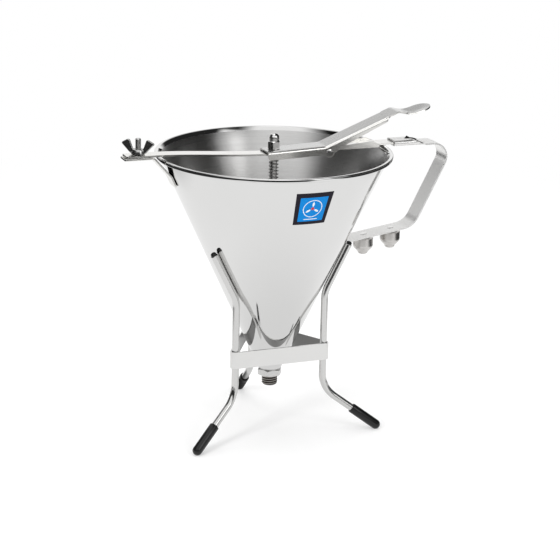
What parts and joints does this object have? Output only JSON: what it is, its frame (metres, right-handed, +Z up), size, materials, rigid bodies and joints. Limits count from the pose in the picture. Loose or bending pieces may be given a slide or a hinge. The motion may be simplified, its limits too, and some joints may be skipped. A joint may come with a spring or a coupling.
{
  "type": "piston funnel with stand",
  "caption": "Steel cone funnel with a thumb lever, sprung closing rod, strip handle, clamped crossbar and a wire tripod stand.",
  "frame": {"origin": "on the table, below the middle of the object's bounding box", "axes": "+X from the cone's axis towards the handle, +Z up along the cone's axis, +Y away from a viewer who has the handle on the right"},
  "size_m": [0.2814, 0.1952, 0.2707],
  "materials": {
    "polished_steel": "polished",
    "satin_steel": "satin",
    "spring_steel": "drawn wire",
    "black_vinyl": "glossy",
    "grey_seal": "plain"
  },
  "bodies": {
    "stand": {"stand_leg_right": "satin_steel", "stand_leg_back": "satin_steel", "stand_leg_left": "satin_steel", "leg_plug_right": "black_vinyl", "leg_plug_back": "black_vinyl", "leg_plug_left": "black_vinyl", "leg_boot_right": "black_vinyl", "leg_boot_back": "black_vinyl", "leg_boot_left": "black_vinyl", "stand_band": "satin_steel"},
    "funnel": {"funnel_cone": "polished_steel", "outlet_spigot": "satin_steel", "clamp_bracket": "satin_steel", "clamp_stud": "satin_steel", "handle": "satin_steel", "nozzle_post_inner": "satin_steel", "nozzle_post_outer": "satin_steel", "crossbar": "satin_steel", "pivot_bracket": "satin_steel", "pivot_pin": "satin_steel", "spring": "spring_steel"},
    "lever": {"lever": "satin_steel"},
    "piston": {"piston_rod": "polished_steel", "cap_nut": "polished_steel", "spring_washer": "satin_steel", "stop_pin": "satin_steel", "closing_plug": "grey_seal"},
    "wing_nut": {"wing_nut": "satin_steel"},
    "nozzle_inner": {"spare_nozzle_inner": "polished_steel"},
    "nozzle_outer": {"spare_nozzle_outer": "polished_steel"}
  },
  "joints": [
    {"name": "funnel_lift", "type": "slide", "parent": "stand", "child": "funnel", "axis": [0, 0, 1], "range_m": [0, 0.14]},
    {"name": "lever_press", "type": "hinge", "parent": "funnel", "child": "lever", "pos_m": [0.03343, 0, 0.23714], "axis": [0, 1, 0], "range_deg": [0, 12]},
    {"name": "rod_lift", "type": "slide", "parent": "funnel", "child": "piston", "axis": [0, 0, 1], "range_m": [0, 0.0104], "stiffness_N_per_m": 800, "springref_m": -0.015, "deforming": ["spring"]},
    {"name": "wing_nut_turn", "type": "hinge", "parent": "funnel", "child": "wing_nut", "pos_m": [-0.12787, 0, 0.24397], "axis": [0, 0, 1], "continuous": true},
    {"name": "nozzle_inner_turn", "type": "hinge", "parent": "funnel", "child": "nozzle_inner", "pos_m": [0.06993, 0, 0.155], "axis": [0, 0, 1], "continuous": true},
    {"name": "nozzle_outer_turn", "type": "hinge", "parent": "funnel", "child": "nozzle_outer", "pos_m": [0.09453, 0, 0.158], "axis": [0, 0, 1], "continuous": true}
  ],
  "couplings": [
    {"joint": "lever_press", "follows": "rod_lift", "rad_per_m": 20}
  ]
}
